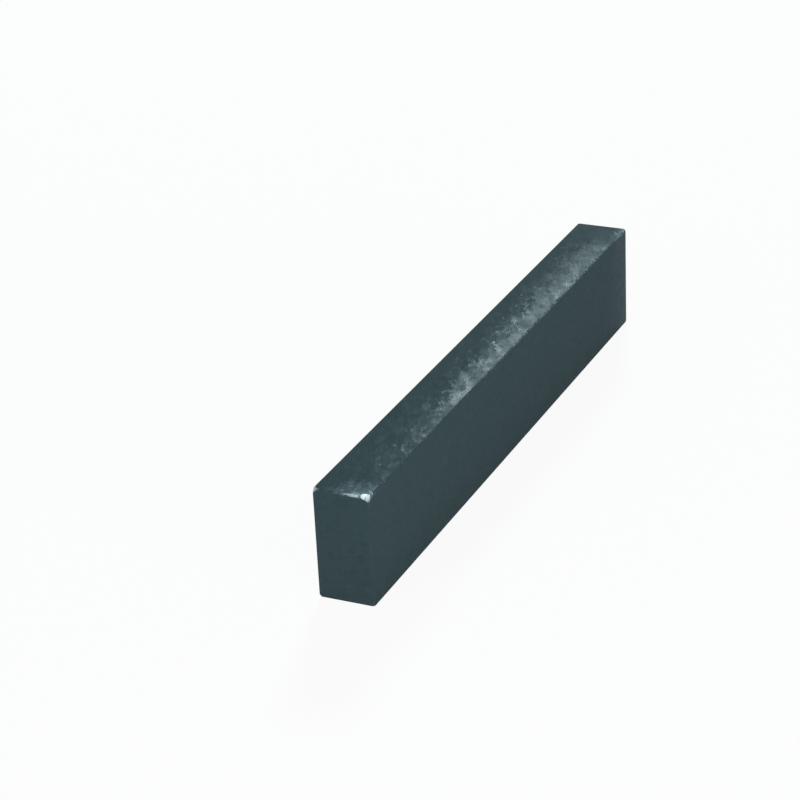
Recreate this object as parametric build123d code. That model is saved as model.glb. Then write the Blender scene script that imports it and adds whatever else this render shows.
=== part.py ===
from build123d import *

import os
from itertools import product

# Black granite precision parallel: one plain bar of stone, lapped flat and square.
# It stands on its narrow base face, with +X across it, +Y along it and +Z up.
# The origin is the centre of the base face, and every size is in millimetres.

# The nominal bar is half an inch wide, one inch high and six inches long.
width = 12.7
height = 25.4
length = 152.4

# A fine flat is stoned along each of the twelve edges, so that none of them is sharp.
# This is how far the flat reaches onto each of the two faces beside it.
arris_leg = 0.3

# Each corner is ground to a three-sided facet, and two were ground back further than the rest:
# those at the top of the -Y end, on the right (+X) and on the left (-X).
# These are how much further along an edge a facet reaches than the meeting of its flats.
right_facet_reach = 0.85
left_facet_reach = 0.6
small_facet_reach = 0.15


def sawn_blank():
    """The square-edged bar, standing on its base face."""
    return Box(width, length, height, align=(Align.CENTER, Align.CENTER, Align.MIN))


def with_stoned_edges(bar):
    """The bar with the arris flat along all twelve edges."""
    return chamfer(bar.edges(), arris_leg)


def facet_reach(side, end, up):
    """How far past its flats the corner that points to side, end and up (each -1 or 1) is ground."""
    if end > 0 or up < 0:
        return small_facet_reach
    return right_facet_reach if side > 0 else left_facet_reach


def with_ground_corner(bar, side, end, up):
    """The bar with the corner that points to side, end and up cut square to its diagonal."""
    # Three flats that meet already take twice their leg off the corner.
    facet_leg = 2 * arris_leg + facet_reach(side, end, up)
    edge_end = Vector(side * width / 2, end * length / 2, height if up > 0 else 0)
    on_facet = edge_end - Vector(side * facet_leg, 0, 0)
    facet = Plane(origin=on_facet, z_dir=(side, end, up))
    return split(bar, bisect_by=facet, keep=Keep.BOTTOM)


def parallel_bar():
    """The finished bar."""
    bar = with_stoned_edges(sawn_blank())
    for side, end, up in product((-1, 1), repeat=3):
        bar = with_ground_corner(bar, side, end, up)
    return bar


os.makedirs("parts", exist_ok=True)
export_step(parallel_bar(), "parts/parallel_bar.step")
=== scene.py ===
"""Black granite precision parallel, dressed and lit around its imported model.

Lengths are in metres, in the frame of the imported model: +X across the bar, +Y along it and +Z up,
with the origin at the centre of the base face.
"""

import math
import random
from itertools import product

import bpy
from bpy.props import FloatProperty, FloatVectorProperty, IntProperty, PointerProperty
from mathutils import Euler, Matrix, Vector


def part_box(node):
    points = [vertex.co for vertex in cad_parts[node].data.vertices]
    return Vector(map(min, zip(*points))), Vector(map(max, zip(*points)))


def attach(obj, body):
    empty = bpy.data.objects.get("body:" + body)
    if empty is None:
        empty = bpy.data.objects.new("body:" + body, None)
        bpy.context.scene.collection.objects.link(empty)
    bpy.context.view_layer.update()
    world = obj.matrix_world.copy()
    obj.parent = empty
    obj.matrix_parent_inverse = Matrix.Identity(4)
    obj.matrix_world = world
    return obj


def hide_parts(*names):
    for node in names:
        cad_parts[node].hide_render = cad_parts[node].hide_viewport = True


bl_info = {
    "name": "Granite Parallel",
    "version": (1, 0, 0),
    "blender": (4, 5, 0),
    "location": "3D View > Sidebar > Parallel",
    "description": "Models a lapped black granite parallel and sets it on a white studio floor",
    "category": "Object",
}

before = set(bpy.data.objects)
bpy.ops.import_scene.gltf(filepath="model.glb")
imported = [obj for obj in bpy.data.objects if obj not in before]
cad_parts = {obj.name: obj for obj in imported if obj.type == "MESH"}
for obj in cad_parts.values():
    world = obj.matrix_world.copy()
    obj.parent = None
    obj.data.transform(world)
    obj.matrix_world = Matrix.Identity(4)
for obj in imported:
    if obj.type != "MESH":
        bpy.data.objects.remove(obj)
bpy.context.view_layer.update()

MM = 0.001
ACROSS, ALONG, UP = Vector((1, 0, 0)), Vector((0, 1, 0)), Vector((0, 0, 1))

BAR_LOW, BAR_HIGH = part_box("parallel_bar")
BAR_SIZE = BAR_HIGH - BAR_LOW
BAR_CENTRE = (BAR_HIGH + BAR_LOW) / 2

# Three corners of the top: near right, near left and far right.
RIGHT_CORNER = Vector((BAR_HIGH.x, BAR_LOW.y, BAR_HIGH.z))
LEFT_CORNER = Vector((BAR_LOW.x, BAR_LOW.y, BAR_HIGH.z))
FAR_CORNER = Vector((BAR_HIGH.x, BAR_HIGH.y, BAR_HIGH.z))

# The middle of the crushed crystal by the right corner, a white that also serves as the corner's painted
# glint, and of the painted sheen on the right top edge: a pale band where that arris would catch the
# light.
KNOCKED = RIGHT_CORNER - 0.9 * MM * ACROSS
PAINTED_SHEEN_EDGE = FAR_CORNER - 0.3 * BAR_SIZE.y * ALONG

# The material slots of the bar. Its lapped finish is in slot 0.
STONED, GROUND, CHIPPED = 1, 2, 3

# A point that is nearer to a cutting plane than this counts as on it.
CUT_TOLERANCE = 1e-7
# Two directions are the same where their dot product is above this.
SAME_WAY = 0.999

# Chips along the edges: lengths and depths as shares of the usual chip's, and widths as shares of the
# chip's own length.
CHIP_LENGTHS = (0.35, 0.5, 0.7, 1.0, 1.5)
CHIP_DEPTHS = (0.4, 1.3)
CHIP_WIDTHS = (0.4, 0.7)

# Nibbles: lengths and depths as shares of the usual chip's, and widths in millimetres.
NIBBLE_LENGTHS = (0.7, 1.0, 1.5, 2.0, 2.6)
NIBBLE_DEPTHS = (0.4, 2.6)
NIBBLE_WIDTHS = (1.0, 1.8)

# The knocked corner and the knocks along the near top edge beside it, in millimetres: the centre of the
# pebble that broke each one out, measured from the right corner, and the pebble's length and width.
KNOCKS = (((-0.9, 0.45, 0.15), 2.1, 2.0), ((-3.75, -0.35, 0.35), 3.5, 1.8),
          ((-5.4, -0.18, 0.18), 1.6, 0.9), ((-7.4, -0.27, 0.27), 1.5, 1.4))

# How much of its camber a lapped face has, from the bar's near end (0) to its far end (1).
CAMBER_ALONG = ((0.0, 0.26), (0.12, 0.26), (0.25, 0.52), (0.38, 0.71),
                (0.6, 0.75), (0.9, 1.0), (1.0, 0.8))
# Where the far fall begins, as a share of the way from the bar's middle to its far end.
FALL_START = 0.82

# Noise in the stone, in bumps per millimetre. The lap's own scratches are too fine to show, so the grit
# that made them is drawn about a millimetre coarse.
WAVES_PER_MM = 0.4
PATCHES_PER_MM = 0.9
WOBBLES_PER_MM = 1.0
GRIT_PER_MM = 1.1

# How far its wobble pushes a grain's outline, in millimetres.
WOBBLE = 0.35

# A pale mark, bruise and painted sheen alike, is ragged: patches of noise, times PATCHINESS, are added to
# the distance from its middle, as a share of its reach. It is whole where the sum is below its core value,
# and gone where it passes its rim value.
PATCHINESS = 0.8
BRUISE_AND_SHEEN_CORE, BRUISE_AND_SHEEN_RIM = 0.55, 1.3

# Most of a noise lies between these values.
NOISE_LOW, NOISE_HIGH = 0.35, 0.65

# The roughness of a lapped face where its polish is best and where it is dullest.
BEST_POLISH, DULLEST = 0.15, 0.34

# The strength of the pale haze round the near right corner, partly painted sheen, and of the painted sheen
# by the far corner, between their flecks and in them.
THIN_HAZE_AND_SHEEN, FLECK_HAZE_AND_SHEEN = 0.1, 0.35

# How far a flashing grain tilts, and the power that makes such grains few.
FLASH_TILT, FLASH_POWER = 0.065, 5.0

FLOOR_SIZE = 6.0
SENSOR_WIDTH_MM = 36.0
NEAR_CLIP = 0.01

# Each lamp's name, the point that it faces, its direction and distance from there, its size, its
# radiance and its colour.
LAMPS = (
    ("corner_lamp", RIGHT_CORNER, (0.70, -0.28, 0.66), 0.55, (0.11, 0.11), 8.2, "#FFFFFF"),
    ("sheen_lamp", BAR_CENTRE, (-0.244, 0.816, 0.524), 2.0, (0.3, 0.3), 104, "#E2FBFF"),
    ("front_lamp", BAR_CENTRE, (-0.20, -0.85, 0.42), 0.9, (0.5, 0.5), 3.1, "#FFFFFF"),
    ("side_lamp", BAR_CENTRE, (0.88, -0.46, 0.08), 0.6, (0.4, 0.3), 4.6, "#F7FFFF"),
)


def linear(hex_colour):
    """An sRGB hex colour as linear red, green and blue."""
    levels = [int(hex_colour[i:i + 2], 16) / 255 for i in (1, 3, 5)]
    return [v / 12.92 if v <= 0.04045 else ((v + 0.055) / 1.055) ** 2.4 for v in levels]


class BarSettings(bpy.types.PropertyGroup):
    """The bar's edge work and its stone."""

    arris_leg: FloatProperty(
        name="Arris leg", description="How far the stoned edge reaches onto each face",
        default=0.3 * MM, min=0.05 * MM, max=2 * MM, unit="LENGTH", precision=5)
    right_facet_leg: FloatProperty(
        name="Right facet", description="Reach of the facet on the near right top corner",
        default=1.45 * MM, min=0.1 * MM, max=4 * MM, unit="LENGTH", precision=5)
    left_facet_leg: FloatProperty(
        name="Left facet", description="Reach of the facet on the near left top corner",
        default=1.2 * MM, min=0.1 * MM, max=4 * MM, unit="LENGTH", precision=5)
    small_facet_leg: FloatProperty(
        name="Small facets", description="Reach of the facets on the other six corners",
        default=0.75 * MM, min=0.1 * MM, max=4 * MM, unit="LENGTH", precision=5)
    chip_length: FloatProperty(
        name="Chip length", description="Usual length of a chip along an edge",
        default=1.1 * MM, min=0.1 * MM, max=5 * MM, unit="LENGTH", precision=5)
    chip_depth: FloatProperty(
        name="Chip depth", description="Usual depth of a chip below the stoned edge",
        default=0.08 * MM, min=0.01 * MM, max=1 * MM, unit="LENGTH", precision=5)
    chip_spacing: FloatProperty(
        name="Chip spacing", description="Usual distance between chips along an edge",
        default=9 * MM, min=2 * MM, max=200 * MM, unit="LENGTH", precision=4)
    nibble_spacing: FloatProperty(
        name="Nibble spacing", description="Usual distance between nibbles along the top right edge",
        default=4 * MM, min=1 * MM, max=200 * MM, unit="LENGTH", precision=4)
    seed: IntProperty(name="Seed", description="Picks another set of chips", default=7, min=0)
    camber: FloatProperty(
        name="Camber", description="How far a lapped face leans outwards at its long edges",
        default=0.147, min=0, max=0.5)
    far_fall: FloatProperty(
        name="Far fall", description="How far a lapped face leans outwards at its far end",
        default=0.12, min=0, max=0.5)
    grain_size: FloatProperty(
        name="Grain size", description="Width of one mineral grain",
        default=1.1 * MM, min=0.2 * MM, max=5 * MM, unit="LENGTH", precision=5)
    grain_stretch: FloatProperty(
        name="Grain stretch", description="How much longer a grain is than it is wide",
        default=2.3, min=1, max=5)
    grain_slant: FloatProperty(
        name="Grain slant", description="Angle between the grains and the length of the bar",
        default=math.radians(25), subtype="ANGLE")
    dark_mineral: FloatVectorProperty(
        name="Dark mineral", description="Pyroxene, the black part of the stone",
        subtype="COLOR", default=linear("#334347"), min=0, max=1)
    mid_mineral: FloatVectorProperty(
        name="Mid mineral", description="The slate grey body of the stone",
        subtype="COLOR", default=linear("#38474B"), min=0, max=1)
    pale_mineral: FloatVectorProperty(
        name="Pale mineral", description="Feldspar flecks",
        subtype="COLOR", default=linear("#3F5054"), min=0, max=1)
    # The pale colour of bruises round knocks, used as well for painted sheen and painted highlights on the
    # edges and corners.
    bruise_and_sheen: FloatVectorProperty(
        name="Bruise", description="Cracked crystal round a knock",
        subtype="COLOR", default=linear("#D2EEF5"), min=0, max=1)
    # Near-white on the knocked corner: crushed crystal, and a painted glint where that corner catches the
    # light.
    crushed_and_glint: FloatVectorProperty(
        name="Crushed", description="Crystal crushed to powder on the knocked corner",
        subtype="COLOR", default=linear("#F2F8F8"), min=0, max=1)


class StageSettings(bpy.types.PropertyGroup):
    """The camera, the floor and the light of the surroundings."""

    azimuth: FloatProperty(
        name="Azimuth", description="How far the camera stands to the right of the bar's end",
        default=math.radians(25.63), subtype="ANGLE")
    elevation: FloatProperty(
        name="Elevation", description="The camera's angle above the horizon",
        default=math.radians(25.56), subtype="ANGLE")
    roll: FloatProperty(
        name="Roll", description="Turn of the camera about its line of sight",
        default=math.radians(-2.89), subtype="ANGLE")
    distance: FloatProperty(
        name="Distance", description="From the camera to the point that it looks at",
        default=571.6 * MM, unit="LENGTH")
    aim: FloatVectorProperty(
        name="Aim", description="The point that the camera looks at",
        default=(-17.92 * MM, -8.78 * MM, 12.7 * MM), subtype="XYZ", unit="LENGTH")
    lens: FloatProperty(name="Lens", description="Focal length in millimetres", default=112.5)
    floor_colour: FloatVectorProperty(
        name="Floor", description="Pale paper under the bar",
        subtype="COLOR", default=linear("#DCDDDD"), min=0, max=1)
    floor_glow: FloatProperty(
        name="Floor glow", description="How much of the floor's look is plain white, free of shadow",
        default=0.93, min=0, max=1)
    horizon_light: FloatProperty(
        name="Horizon light", description="Strength of the surroundings as a light, at the horizon",
        default=0.52, min=0)
    zenith_light: FloatProperty(
        name="Zenith light", description="Strength of the surroundings as a light, overhead",
        default=0.0, min=0)


def deselect_all():
    """Leaves nothing selected, in object mode."""
    if bpy.context.object and bpy.context.object.mode != "OBJECT":
        bpy.ops.object.mode_set(mode="OBJECT")
    bpy.ops.object.select_all(action="DESELECT")


def activate(piece):
    """Makes piece the one selected object."""
    deselect_all()
    piece.select_set(True)
    bpy.context.view_layer.objects.active = piece


def node(tree, kind, inputs=(), **settings):
    """Adds a node with its settings.

    Its inputs come in order or by name. Each is a value, the socket that feeds it, or the node that does.
    """
    made = tree.nodes.new(kind)
    for name, value in settings.items():
        setattr(made, name, value)
    sockets = [s for s in made.inputs if s.enabled]
    if isinstance(inputs, dict):
        pairs = [(next(s for s in sockets if s.name == name), value) for name, value in inputs.items()]
    else:
        pairs = zip(sockets, inputs)
    for socket, value in pairs:
        if isinstance(value, bpy.types.Node):
            value = next(s for s in value.outputs if s.enabled)
        if isinstance(value, bpy.types.NodeSocket):
            tree.links.new(value, socket)
        else:
            socket.default_value = value
    return made


def empty_material(name):
    """A new material with no nodes, and its tree."""
    material = bpy.data.materials.new(name)
    material.use_nodes = True
    material.node_tree.nodes.clear()
    return material, material.node_tree


def set_stops(ramp, stops):
    """Gives a colour ramp these stops, each a place from 0 to 1 and a colour."""
    while len(ramp.color_ramp.elements) < len(stops):
        ramp.color_ramp.elements.new(1.0)
    for element, (place, colour) in zip(ramp.color_ramp.elements, stops):
        element.position = place
        element.color = (*colour, 1)


def place_in_mm(tree):
    """The place on the bar, in millimetres."""
    place = node(tree, "ShaderNodeTexCoord").outputs["Object"]
    return node(tree, "ShaderNodeVectorMath", (place, (MM, MM, MM)), operation="DIVIDE")


def slanted_place(tree, in_mm, bar):
    """The place on the bar for patterns that lie as the grains do, slanted and stretched."""
    return node(tree, "ShaderNodeMapping",
                {"Vector": in_mm, "Rotation": (0, 0, bar.grain_slant), "Scale": (1, bar.grain_stretch, 1)},
                vector_type="TEXTURE")


def grains(tree, place, size):
    """A random colour for each mineral grain, with grains of irregular outline."""
    wobble = node(tree, "ShaderNodeTexNoise", {"Vector": place, "Scale": WOBBLES_PER_MM, "Detail": 1.0})
    warped = node(tree, "ShaderNodeVectorMath", (wobble.outputs["Color"], (WOBBLE, WOBBLE, WOBBLE), place),
                  operation="MULTIPLY_ADD")
    return node(tree, "ShaderNodeTexVoronoi", {"Vector": warped, "Scale": MM / size, "Smoothness": 0.75},
                feature="SMOOTH_F1").outputs["Color"]


def bruises_and_sheen(tree, in_mm, pale_marks):
    """How pale the stone is, from 0 to 1, in patches: bruises, and painted sheen and highlights.

    Its list gives the middle of each patch, its reach in millimetres along X, Y and Z, and its strength.
    """
    patches = node(tree, "ShaderNodeTexNoise", {"Vector": in_mm, "Scale": PATCHES_PER_MM, "Detail": 2.0})
    worst = 0.0
    for middle, reach, strength in pale_marks:
        offset = node(tree, "ShaderNodeVectorMath", (in_mm, middle / MM), operation="SUBTRACT")
        share = node(tree, "ShaderNodeVectorMath", (offset, reach), operation="DIVIDE")
        away = node(tree, "ShaderNodeVectorMath", (share,), operation="LENGTH")
        patchy = node(tree, "ShaderNodeMath", (patches.outputs["Fac"], PATCHINESS, away),
                      operation="MULTIPLY_ADD")
        bruise_and_sheen = node(tree, "ShaderNodeMapRange",
                      {"Value": patchy, "From Min": BRUISE_AND_SHEEN_CORE, "From Max": BRUISE_AND_SHEEN_RIM,
                       "To Min": strength, "To Max": 0.0})
        worst = node(tree, "ShaderNodeMath", (bruise_and_sheen, worst), operation="MAXIMUM")
    return worst


def cambered_normal(tree, in_mm, bar):
    """The normal of a slightly cambered face, which leans outwards at its long edges and its far end."""
    from_centre = node(tree, "ShaderNodeVectorMath", (in_mm, BAR_CENTRE / MM), operation="SUBTRACT")
    shares = node(tree, "ShaderNodeVectorMath", (from_centre, BAR_SIZE / MM / 2), operation="DIVIDE")
    shares = node(tree, "ShaderNodeSeparateXYZ", (shares,)).outputs
    along = node(tree, "ShaderNodeMapRange", {"Value": shares["Y"], "From Min": -1.0})
    amount = node(tree, "ShaderNodeValToRGB", (along,))
    set_stops(amount, [(place, (share,) * 3) for place, share in CAMBER_ALONG])
    across = node(tree, "ShaderNodeMath", (shares["X"], amount), operation="MULTIPLY")
    far = node(tree, "ShaderNodeMapRange", {"Value": shares["Y"], "From Min": FALL_START})
    lean = node(tree, "ShaderNodeCombineXYZ", (across, far))
    flat = node(tree, "ShaderNodeNewGeometry").outputs["Normal"]
    return node(tree, "ShaderNodeVectorMath", (lean, (bar.camber, bar.far_fall, 0), flat),
                operation="MULTIPLY_ADD")


def uneven(tree, normal, pattern, tilts):
    """The normal, tilted either way in each grain of the pattern, by up to tilts along X, Y and Z."""
    either_way = node(tree, "ShaderNodeVectorMath", (pattern, (2, 2, 2), (-1, -1, -1)),
                      operation="MULTIPLY_ADD")
    return node(tree, "ShaderNodeVectorMath", (either_way, tilts, normal), operation="MULTIPLY_ADD")


def crystal_normal(tree, grain, tilt):
    """The plain normal, tilted either way by up to tilt in each grain of crystal."""
    flat = node(tree, "ShaderNodeNewGeometry").outputs["Normal"]
    tilted = uneven(tree, flat, grain, (tilt, tilt, tilt))
    return node(tree, "ShaderNodeVectorMath", (tilted,), operation="NORMALIZE")


def mineral_colour(tree, bar, tone):
    """Dark, mid and pale minerals, by a random tone from 0 to 1."""
    ramp = node(tree, "ShaderNodeValToRGB", (tone,))
    set_stops(ramp, ((0.0, bar.dark_mineral), (0.45, bar.mid_mineral), (0.8, bar.mid_mineral),
                     (1.0, bar.pale_mineral)))
    return ramp


def lapped_granite(bar):
    """Black granite lapped with fine grit: dark slate, whose cambered faces take a broken satin sheen."""
    material, tree = empty_material("lapped_black_granite")
    in_mm = place_in_mm(tree)
    slanted = slanted_place(tree, in_mm, bar)
    # The stone is made of grains, with laths half as wide among them.
    grain = grains(tree, slanted, bar.grain_size)
    lath = grains(tree, slanted, bar.grain_size / 2)
    grain_pick = node(tree, "ShaderNodeSeparateColor", (grain,)).outputs
    lath_pick = node(tree, "ShaderNodeSeparateColor", (lath,)).outputs
    tone = node(tree, "ShaderNodeMix", (0.5, grain_pick[0], lath_pick[0]), data_type="FLOAT")
    # A pale haze lies round the near right corner, cracked crystal that also serves as painted sheen, and
    # along the right top edge by the far corner, where it is painted sheen. It is thin between its flecks.
    haze_and_sheen = bruises_and_sheen(tree, in_mm, ((RIGHT_CORNER, (11.0, 8.0, 0.8), 1.0),
                                 (FAR_CORNER, (3.0, 16.0, 0.8), 1.0)))
    fleck_noise = node(tree, "ShaderNodeTexNoise", {"Vector": slanted, "Scale": PATCHES_PER_MM, "Detail": 1.0})
    flecks = node(tree, "ShaderNodeMapRange",
                  {"Value": fleck_noise.outputs["Fac"], "From Min": 0.5, "From Max": 0.7,
                   "To Min": THIN_HAZE_AND_SHEEN, "To Max": FLECK_HAZE_AND_SHEEN})
    haze_and_sheen = node(tree, "ShaderNodeMath", (haze_and_sheen, flecks), operation="MULTIPLY")
    colour = node(tree, "ShaderNodeMix", (haze_and_sheen, mineral_colour(tree, bar, tone), (*bar.bruise_and_sheen, 1)),
                  data_type="RGBA")
    # The lap left slow waves, and patches of better and worse polish. The polish differs by grain as well.
    waves = node(tree, "ShaderNodeTexNoise", {"Vector": slanted, "Scale": WAVES_PER_MM, "Detail": 2.0})
    waves = waves.outputs["Color"]
    patch = node(tree, "ShaderNodeSeparateColor", (waves,)).outputs[2]
    patch = node(tree, "ShaderNodeMapRange",
                 {"Value": patch, "From Min": NOISE_LOW, "From Max": NOISE_HIGH})
    dullness = node(tree, "ShaderNodeMix", (0.6, grain_pick[1], patch), data_type="FLOAT")
    rough = node(tree, "ShaderNodeMapRange",
                 {"Value": dullness, "To Min": BEST_POLISH, "To Max": DULLEST})
    # Waves, grit and grains rock across the bar more than along it, which is the way that it was lapped.
    grit = node(tree, "ShaderNodeTexNoise", {"Vector": slanted, "Scale": GRIT_PER_MM, "Detail": 1.0})
    grit = grit.outputs["Color"]
    normal = cambered_normal(tree, in_mm, bar)
    for pattern, tilt in ((waves, 0.045), (grit, 0.06), (grain, 0.03), (lath, 0.012)):
        normal = uneven(tree, normal, pattern, (tilt, tilt / 3, 0.0))
    # A few laths lie well out of true, and flash where the rest are dark.
    flash = node(tree, "ShaderNodeMath", (lath_pick[1], FLASH_POWER), operation="POWER")
    normal = node(tree, "ShaderNodeVectorMath", (flash, (FLASH_TILT, 0.0, 0.0), normal),
                  operation="MULTIPLY_ADD")
    normal = node(tree, "ShaderNodeVectorMath", (normal,), operation="NORMALIZE")
    # Polished stone has a specular level of about 0.5. This one, like those below, is matched to the
    # photo, where the faces mirror next to nothing of the white round the bar.
    shader = node(tree, "ShaderNodeBsdfPrincipled",
                  {"Base Color": colour, "Roughness": rough, "Specular IOR Level": 0.0034,
                   "Normal": normal})
    node(tree, "ShaderNodeOutputMaterial", {"Surface": shader})
    return material


def stoned_granite(bar):
    """Black granite stoned by hand along the edges: as dark as the faces, pale where knocked, with painted
    highlights at the near corners and painted sheen along the right top edge.
    """
    material, tree = empty_material("stoned_black_granite")
    in_mm = place_in_mm(tree)
    grain = grains(tree, in_mm, bar.grain_size / 2)
    picks = node(tree, "ShaderNodeSeparateColor", (grain,)).outputs
    # Pale marks: crushed crystal along the near top edge and at the left corner, which also serves as
    # painted highlight there, and painted sheen along the far part of the right top edge and by the far
    # corner.
    mask = bruises_and_sheen(tree, in_mm, ((RIGHT_CORNER, (8.5, 2.5, 1.6), 0.5), (LEFT_CORNER, (1.8, 1.8, 1.8), 0.4),
                                 (FAR_CORNER, (1.5, 12.0, 1.5), 0.5), (PAINTED_SHEEN_EDGE, (1.5, 60.0, 1.5), 0.3)))
    amount = node(tree, "ShaderNodeMath", (mask, picks[2]), operation="MULTIPLY")
    colour = node(tree, "ShaderNodeMix", (amount, mineral_colour(tree, bar, picks[0]), (*bar.bruise_and_sheen, 1)),
                  data_type="RGBA")
    rough = node(tree, "ShaderNodeMapRange", {"Value": picks[1], "To Min": 0.3, "To Max": 0.8})
    shader = node(tree, "ShaderNodeBsdfPrincipled",
                  {"Base Color": colour, "Roughness": rough, "Specular IOR Level": 0.008,
                   "Normal": crystal_normal(tree, grain, 0.1)})
    node(tree, "ShaderNodeOutputMaterial", {"Surface": shader})
    return material


def ground_granite(bar):
    """Black granite ground on a fine wheel: a smooth facet, white with crushed crystal where knocked, a
    white that also serves as the corner's painted glint, and pale on the left corner, bruise and painted
    highlight alike.
    """
    material, tree = empty_material("ground_black_granite")
    in_mm = place_in_mm(tree)
    grain = grains(tree, in_mm, bar.grain_size / 2)
    bruise_and_highlight = bruises_and_sheen(tree, in_mm, ((LEFT_CORNER, (5.0, 5.0, 5.0), 0.5),))
    crushed_and_glint = bruises_and_sheen(tree, in_mm, ((KNOCKED, (1.6, 1.6, 1.6), 1.0),))
    colour = node(tree, "ShaderNodeMix", (bruise_and_highlight, (*bar.pale_mineral, 1), (*bar.bruise_and_sheen, 1)),
                  data_type="RGBA")
    colour = node(tree, "ShaderNodeMix", (crushed_and_glint, colour, (*bar.crushed_and_glint, 1)), data_type="RGBA")
    shader = node(tree, "ShaderNodeBsdfPrincipled",
                  {"Base Color": colour, "Roughness": 0.25, "Specular IOR Level": 0.05,
                   "Normal": crystal_normal(tree, grain, 0.03)})
    node(tree, "ShaderNodeOutputMaterial", {"Surface": shader})
    return material


def chipped_granite(bar):
    """Black granite broken open: dull crystal faces, pale only where the corner was knocked, a pale that
    also serves as painted highlight along the near top edge.
    """
    material, tree = empty_material("chipped_black_granite")
    in_mm = place_in_mm(tree)
    grain = grains(tree, in_mm, bar.grain_size / 2)
    pick = node(tree, "ShaderNodeSeparateColor", (grain,)).outputs[0]
    bruise_and_highlight = bruises_and_sheen(tree, in_mm, ((RIGHT_CORNER, (9.0, 6.0, 3.0), 0.85),))
    crushed_and_glint = bruises_and_sheen(tree, in_mm, ((KNOCKED, (3.0, 3.0, 3.0), 1.0),))
    colour = node(tree, "ShaderNodeMix", (pick, (*bar.mid_mineral, 1), (*bar.pale_mineral, 1)),
                  data_type="RGBA")
    colour = node(tree, "ShaderNodeMix", (bruise_and_highlight, colour, (*bar.bruise_and_sheen, 1)), data_type="RGBA")
    colour = node(tree, "ShaderNodeMix", (crushed_and_glint, colour, (*bar.crushed_and_glint, 1)), data_type="RGBA")
    shader = node(tree, "ShaderNodeBsdfPrincipled",
                  {"Base Color": colour, "Roughness": 0.5, "Specular IOR Level": 0.1,
                   "Normal": crystal_normal(tree, grain, 0.25)})
    node(tree, "ShaderNodeOutputMaterial", {"Surface": shader})
    return material


def box_point(ways):
    """A point of the bar's box. ways holds -1, 0 or 1 for X, Y and Z: low side, middle or high side."""
    return BAR_CENTRE + Vector(w * s / 2 for w, s in zip(ways, BAR_SIZE))


def sawn_blank():
    """A block of the bar's size, placed where the bar stands."""
    deselect_all()
    bpy.ops.mesh.primitive_cube_add(size=1, location=BAR_CENTRE, scale=BAR_SIZE)
    blank = bpy.context.object
    blank.name = blank.data.name = "granite_bar"
    bpy.ops.object.transform_apply(location=True, rotation=True, scale=True)
    return blank


def stone_the_edges(piece, leg):
    """Breaks all twelve edges with a narrow rounded arris, in the stoned finish."""
    activate(piece)
    bpy.ops.object.mode_set(mode="EDIT")
    bpy.ops.mesh.select_mode(type="EDGE")
    bpy.ops.mesh.select_all(action="SELECT")
    bpy.ops.mesh.bevel(offset=leg, offset_type="OFFSET", segments=3, profile=0.5, affect="EDGES",
                       material=STONED)
    bpy.ops.object.mode_set(mode="OBJECT")


def facet_leg(bar, side, end, up):
    """How far the facet on one corner reaches. side, end and up are -1 or 1."""
    if end > 0 or up < 0:
        return bar.small_facet_leg
    return bar.right_facet_leg if side > 0 else bar.left_facet_leg


def grind_a_corner(piece, ways, leg):
    """Cuts one corner square to its diagonal. ways holds -1 or 1 for X, Y and Z."""
    out = Vector(ways).normalized()
    activate(piece)
    bpy.ops.object.mode_set(mode="EDIT")
    bpy.ops.mesh.select_all(action="SELECT")
    bpy.ops.mesh.bisect(plane_co=box_point(ways) - ways[0] * leg * ACROSS, plane_no=out,
                        use_fill=True, clear_outer=True, threshold=CUT_TOLERANCE)
    bpy.ops.object.mode_set(mode="OBJECT")
    for face in piece.data.polygons:
        if face.normal.dot(out) > SAME_WAY:
            face.material_index = GROUND


def chip_tool(material, subdivisions, roughness):
    """A rough pebble, 1 m across, that breaks one chip out of an edge when scaled down."""
    deselect_all()
    bpy.ops.mesh.primitive_ico_sphere_add(subdivisions=subdivisions, radius=0.5)
    tool = bpy.context.object
    tool.data.materials.append(material)
    bpy.ops.object.mode_set(mode="EDIT")
    bpy.ops.mesh.select_all(action="SELECT")
    bpy.ops.transform.vertex_random(offset=roughness, seed=3)
    bpy.ops.object.mode_set(mode="OBJECT")
    return tool


def rounding(bar):
    """How far the rounded arris lies inside the sharp edge."""
    return bar.arris_leg * (math.sqrt(2) - 1)


def edge_chips(bar):
    """Small chips along all edges, each a place on the edge, way out, axis, length, width and depth."""
    draw = random.Random(bar.seed)
    for along, axis in enumerate((ACROSS, ALONG, UP)):
        first, second = [a for a in range(3) if a != along]
        # The chips keep clear of the corners by two facets at either end.
        run = BAR_SIZE[along] - 4 * bar.small_facet_leg
        count = max(1, round(run / bar.chip_spacing))
        for sides in product((-1, 1), repeat=2):
            out = Vector((0, 0, 0))
            out[first], out[second] = sides
            for i in range(count):
                place = box_point(out)
                place[along] += run * ((i + draw.random()) / count - 0.5)
                length = bar.chip_length * draw.choice(CHIP_LENGTHS)
                depth = rounding(bar) + bar.chip_depth * draw.uniform(*CHIP_DEPTHS)
                yield place, out.normalized(), axis, length, length * draw.uniform(*CHIP_WIDTHS), depth


def nibbles(bar):
    """Shallow scallops nibbled out of the top right edge, in the same form."""
    draw = random.Random(bar.seed + 2)
    out = (ACROSS + UP).normalized()
    count = round(BAR_SIZE.y / bar.nibble_spacing)
    for i in range(count):
        place = RIGHT_CORNER + Vector((0, BAR_SIZE.y * (i + draw.random()) / count, 0))
        length = bar.chip_length * draw.choice(NIBBLE_LENGTHS)
        depth = rounding(bar) + bar.chip_depth * draw.uniform(*NIBBLE_DEPTHS)
        yield place, out, ALONG, length, draw.uniform(*NIBBLE_WIDTHS) * MM, depth


def knock_chips():
    """The knocks at the near right top corner, in the same form."""
    for centre, length, width in KNOCKS:
        place = RIGHT_CORNER + Vector(centre) * MM
        yield place, UP, ACROSS, length * MM, width * MM, width / 2 * MM


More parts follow.
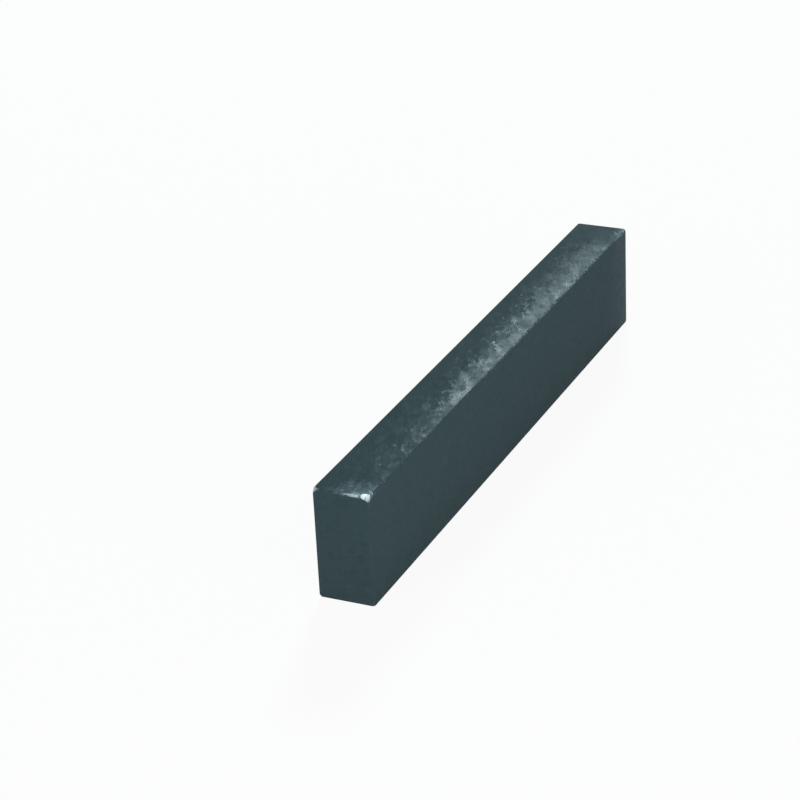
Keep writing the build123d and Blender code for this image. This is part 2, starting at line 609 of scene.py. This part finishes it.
def break_out(piece, tool, chips, bar):
    """Breaks the chips out of the piece with copies of the pebble, and removes the pebble."""
    draw = random.Random(bar.seed + 1)
    tools = []
    for place, out, axis, length, width, depth in chips:
        copy = tool.copy()
        copy.data = tool.data.copy()
        bpy.context.collection.objects.link(copy)
        turn = Matrix((axis, axis.cross(out), out)).transposed().to_4x4()
        roll = Matrix.Rotation(draw.uniform(0, math.tau), 4, "X")
        stretch = Matrix.Diagonal((length, width, width, 1))
        centre = place - out * (depth - width / 2)
        copy.matrix_world = Matrix.Translation(centre) @ turn @ roll @ stretch
        tools.append(copy)
    activate(tools[0])
    for copy in tools:
        copy.select_set(True)
    bpy.ops.object.join()
    cutter = bpy.context.object
    activate(piece)
    cut = piece.modifiers.new("chips", "BOOLEAN")
    cut.operation = "DIFFERENCE"
    cut.solver = "EXACT"
    # Pebbles may overlap one another.
    cut.use_self = True
    cut.material_mode = "TRANSFER"
    cut.object = cutter
    bpy.ops.object.modifier_apply(modifier=cut.name)
    bpy.data.objects.remove(cutter)
    bpy.data.objects.remove(tool)


class PARALLEL_OT_bar(bpy.types.Operator):
    """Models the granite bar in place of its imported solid"""

    bl_idname = "parallel.bar"
    bl_label = "Granite Bar"

    def execute(self, context):
        bar = context.scene.parallel_bar
        piece = sawn_blank()
        for finish in (lapped_granite, stoned_granite, ground_granite, chipped_granite):
            piece.data.materials.append(finish(bar))
        stone_the_edges(piece, bar.arris_leg)
        for ways in product((-1, 1), repeat=3):
            grind_a_corner(piece, ways, facet_leg(bar, *ways))
        broken = piece.data.materials[CHIPPED]
        pebble = chip_tool(broken, subdivisions=2, roughness=0.1)
        break_out(piece, pebble, [*edge_chips(bar), *nibbles(bar)], bar)
        smooth_pebble = chip_tool(broken, subdivisions=4, roughness=0.02)
        break_out(piece, smooth_pebble, knock_chips(), bar)
        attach(piece, "root")
        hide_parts("parallel_bar")
        return {"FINISHED"}


def area_lamp(name, aim, direction, distance, size, radiance, colour):
    """A soft lamp that faces aim from the direction given, as bright as radiance per unit of its face."""
    away = Vector(direction).normalized()
    turn = away.to_track_quat("Z", "Y").to_euler()
    bpy.ops.object.light_add(type="AREA", location=aim + away * distance, rotation=turn)
    lamp = bpy.context.object
    lamp.name = lamp.data.name = name
    lamp.data.shape = "RECTANGLE"
    lamp.data.size, lamp.data.size_y = size
    # An area lamp's energy is four times its radiance times its area.
    lamp.data.energy = radiance * 4 * size[0] * size[1]
    lamp.data.color = linear(colour)
    lamp.visible_camera = False


def seen_directly(tree):
    """1 for what the eye sees, straight on, in a reflection or through glass, and 0 for lighting."""
    path = node(tree, "ShaderNodeLightPath").outputs
    seen = path["Is Camera Ray"]
    for ray in ("Is Glossy Ray", "Is Transmission Ray"):
        seen = node(tree, "ShaderNodeMath", (seen, path[ray]), operation="MAXIMUM")
    return seen


def white_surroundings(stage):
    """A white world to the eye and in reflections. As a light it is softer, and weakest overhead."""
    world = bpy.data.worlds.new("white_surroundings")
    world.use_nodes = True
    tree = world.node_tree
    tree.nodes.clear()
    direction = node(tree, "ShaderNodeTexCoord").outputs["Generated"]
    height = node(tree, "ShaderNodeSeparateXYZ", (direction,)).outputs["Z"]
    light = node(tree, "ShaderNodeMapRange",
                 {"Value": height, "To Min": stage.horizon_light, "To Max": stage.zenith_light})
    strength = node(tree, "ShaderNodeMix", (seen_directly(tree), light, 1.0), data_type="FLOAT")
    glow = node(tree, "ShaderNodeBackground", {"Color": (1, 1, 1, 1), "Strength": strength})
    node(tree, "ShaderNodeOutputWorld", {"Surface": glow})
    bpy.context.scene.world = world


def white_floor(stage):
    """A broad sheet of matt white paper that keeps a faint part of the bar's soft shadow."""
    deselect_all()
    bpy.ops.mesh.primitive_plane_add(size=FLOOR_SIZE, location=(0, 0, BAR_LOW.z))
    floor = bpy.context.object
    floor.name = floor.data.name = "paper_floor"
    material, tree = empty_material("matt_white_paper")
    paper = node(tree, "ShaderNodeBsdfPrincipled",
                 {"Base Color": (*stage.floor_colour, 1), "Roughness": 0.9, "Specular IOR Level": 0.0})
    white = node(tree, "ShaderNodeEmission", {"Color": (1, 1, 1, 1), "Strength": 1.0})
    share = node(tree, "ShaderNodeMath", (seen_directly(tree), stage.floor_glow), operation="MULTIPLY")
    surface = node(tree, "ShaderNodeMixShader", (share, paper, white))
    node(tree, "ShaderNodeOutputMaterial", {"Surface": surface})
    floor.data.materials.append(material)


def photo_camera(stage):
    """A long lens from the front right, above the bar's near end."""
    away = Vector((math.sin(stage.azimuth) * math.cos(stage.elevation),
                   -math.cos(stage.azimuth) * math.cos(stage.elevation),
                   math.sin(stage.elevation)))
    place = Vector(stage.aim) + away * stage.distance
    turn = away.to_track_quat("Z", "Y") @ Euler((0, 0, stage.roll)).to_quaternion()
    bpy.ops.object.camera_add(location=place, rotation=turn.to_euler())
    camera = bpy.context.object
    camera.name = camera.data.name = "photo_camera"
    camera.data.lens = stage.lens
    camera.data.sensor_width = SENSOR_WIDTH_MM
    camera.data.clip_start = NEAR_CLIP
    bpy.context.scene.camera = camera


class PARALLEL_OT_stage(bpy.types.Operator):
    """Sets up the floor, the surroundings, the lamps and the camera"""

    bl_idname = "parallel.stage"
    bl_label = "White Stage"

    def execute(self, context):
        stage = context.scene.parallel_stage
        white_surroundings(stage)
        white_floor(stage)
        for lamp in LAMPS:
            area_lamp(*lamp)
        photo_camera(stage)
        context.scene.view_settings.view_transform = "Standard"
        return {"FINISHED"}


class PARALLEL_PT_panel(bpy.types.Panel):
    """Lists the bar and the stage"""

    bl_idname = "PARALLEL_PT_panel"
    bl_label = "Granite Parallel"
    bl_space_type = "VIEW_3D"
    bl_region_type = "UI"
    bl_category = "Parallel"

    def draw(self, context):
        for settings, operator in (("parallel_bar", PARALLEL_OT_bar),
                                   ("parallel_stage", PARALLEL_OT_stage)):
            box = self.layout.box()
            box.operator(operator.bl_idname)
            group = getattr(context.scene, settings)
            for name in group.__annotations__:
                box.prop(group, name)


CLASSES = (BarSettings, StageSettings, PARALLEL_OT_bar, PARALLEL_OT_stage, PARALLEL_PT_panel)


def register():
    """Adds the classes and the scene's settings."""
    for cls in CLASSES:
        bpy.utils.register_class(cls)
    bpy.types.Scene.parallel_bar = PointerProperty(type=BarSettings)
    bpy.types.Scene.parallel_stage = PointerProperty(type=StageSettings)


def unregister():
    """Takes the settings and the classes away."""
    del bpy.types.Scene.parallel_bar
    del bpy.types.Scene.parallel_stage
    for cls in reversed(CLASSES):
        bpy.utils.unregister_class(cls)


def main():
    register()
    bpy.ops.parallel.bar()
    bpy.ops.parallel.stage()


if __name__ == "__main__":
    main()
